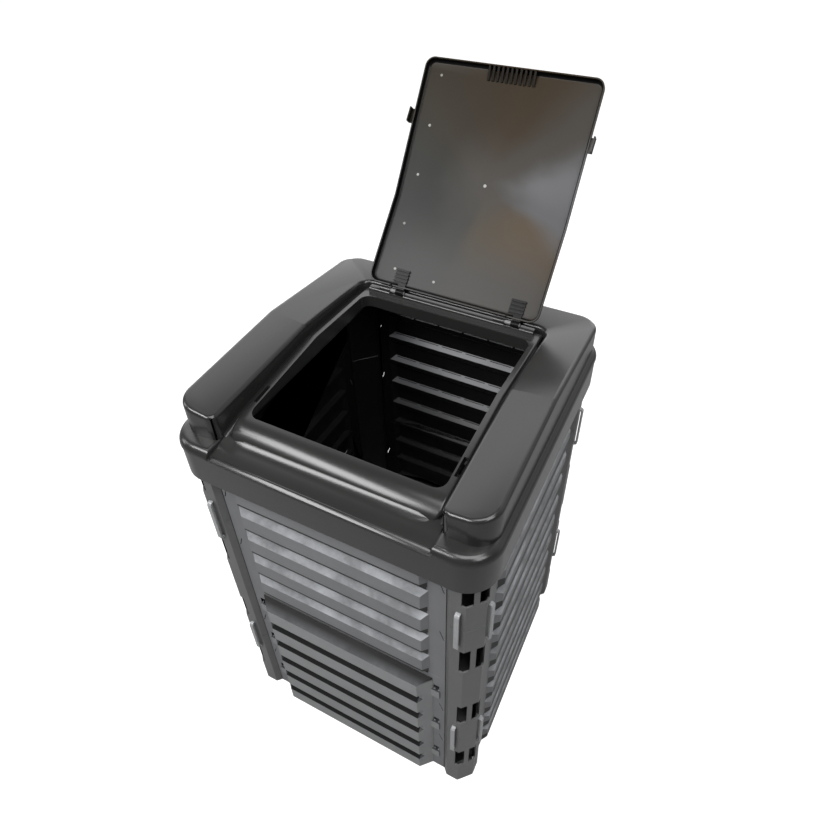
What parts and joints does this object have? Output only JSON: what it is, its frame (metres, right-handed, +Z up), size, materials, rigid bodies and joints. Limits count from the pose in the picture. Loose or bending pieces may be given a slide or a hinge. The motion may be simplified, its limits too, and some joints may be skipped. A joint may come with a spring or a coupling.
{
  "type": "garden compost bin",
  "caption": "Square garden compost bin of louvred plastic panels between slotted corner posts, with a cover, a lid hinged at the back, held open, and a lift-out door low at the front.",
  "frame": {"origin": "on the ground under the middle of the overall box, which takes in the open lid: 95.1 mm behind the middle of the bin itself", "axes": "+X to the right along the front, +Y to the back, +Z up"},
  "size_m": [0.607, 0.7972, 1.307],
  "materials": {
    "cover_plastic": "satin black recycled polypropylene, moulded smooth",
    "panel_plastic": "satin dark grey polypropylene, faintly mottled",
    "post_plastic": "satin dark grey polypropylene",
    "lid_plastic": "glossy black polypropylene inside, satin outside",
    "clip_plastic": "satin dark grey nylon",
    "pin_plastic": "satin grey nylon"
  },
  "bodies": {
    "bin": {"back_lower_panel": "panel_plastic", "back_upper_panel": "panel_plastic", "cover": "cover_plastic", "front_door_frame": "panel_plastic", "front_upper_panel": "panel_plastic", "hinge_pin_left": "pin_plastic", "hinge_pin_right": "pin_plastic", "left_lower_panel": "panel_plastic", "left_upper_panel": "panel_plastic", "post_back_left_foot": "post_plastic", "post_back_left_middle": "post_plastic", "post_back_left_top": "post_plastic", "post_back_right_foot": "post_plastic", "post_back_right_middle": "post_plastic", "post_back_right_top": "post_plastic", "post_clips_back_left": "clip_plastic", "post_clips_back_right": "clip_plastic", "post_clips_front_left": "clip_plastic", "post_clips_front_right": "clip_plastic", "post_front_left_foot": "post_plastic", "post_front_left_middle": "post_plastic", "post_front_left_top": "post_plastic", "post_front_right_foot": "post_plastic", "post_front_right_middle": "post_plastic", "post_front_right_top": "post_plastic", "right_lower_panel": "panel_plastic", "right_upper_panel": "panel_plastic"},
    "lid": {"lid": "lid_plastic", "lid_hinge_clip_left": "clip_plastic", "lid_hinge_clip_right": "clip_plastic"},
    "door": {"door": "panel_plastic"}
  },
  "joints": [
    {"name": "lid_hinge", "type": "hinge", "parent": "bin", "child": "lid", "pos_m": [0, 0.1049, 0.913], "axis": [1, 0, 0], "range_deg": [0, 130]},
    {"name": "door_lift", "type": "slide", "parent": "bin", "child": "door", "axis": [0, 0, 1], "range_m": [0, 0.02]}
  ]
}
